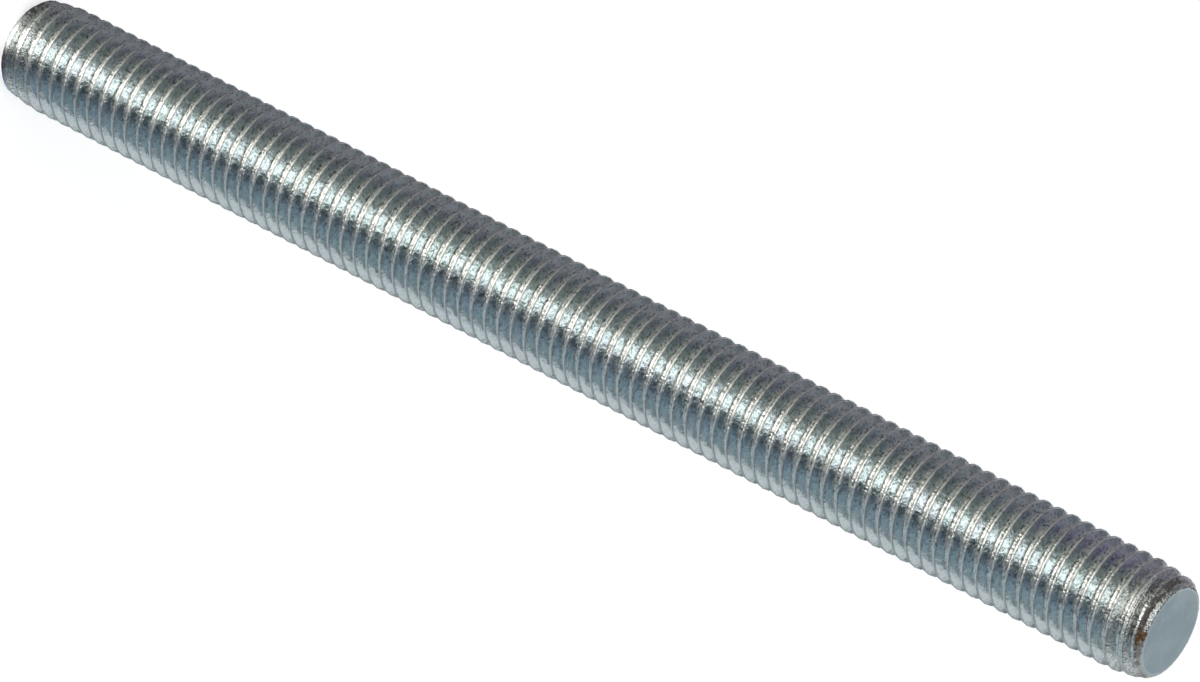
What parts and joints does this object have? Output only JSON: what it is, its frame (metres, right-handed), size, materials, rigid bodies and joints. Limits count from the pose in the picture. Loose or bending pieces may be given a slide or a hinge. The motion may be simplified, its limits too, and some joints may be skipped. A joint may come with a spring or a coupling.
{
  "type": "threaded rod",
  "caption": "Straight steel rod with a right-hand metric thread along its whole length and chamfered, square-cut ends.",
  "frame": {"origin": "centre of the lower end face, which the rod stands on", "axes": "+Z along the rod's axis, from the lower end to the upper end; +X and +Y are square to it"},
  "size_m": [0.012, 0.012, 0.15],
  "materials": {
    "zinc_plated_steel": "bright zinc plate with a faint blue passivation, fine rolling marks on the thread and a trace of rust at one end"
  },
  "bodies": {
    "root": {"threaded_rod": "zinc_plated_steel"}
  },
  "joints": []
}
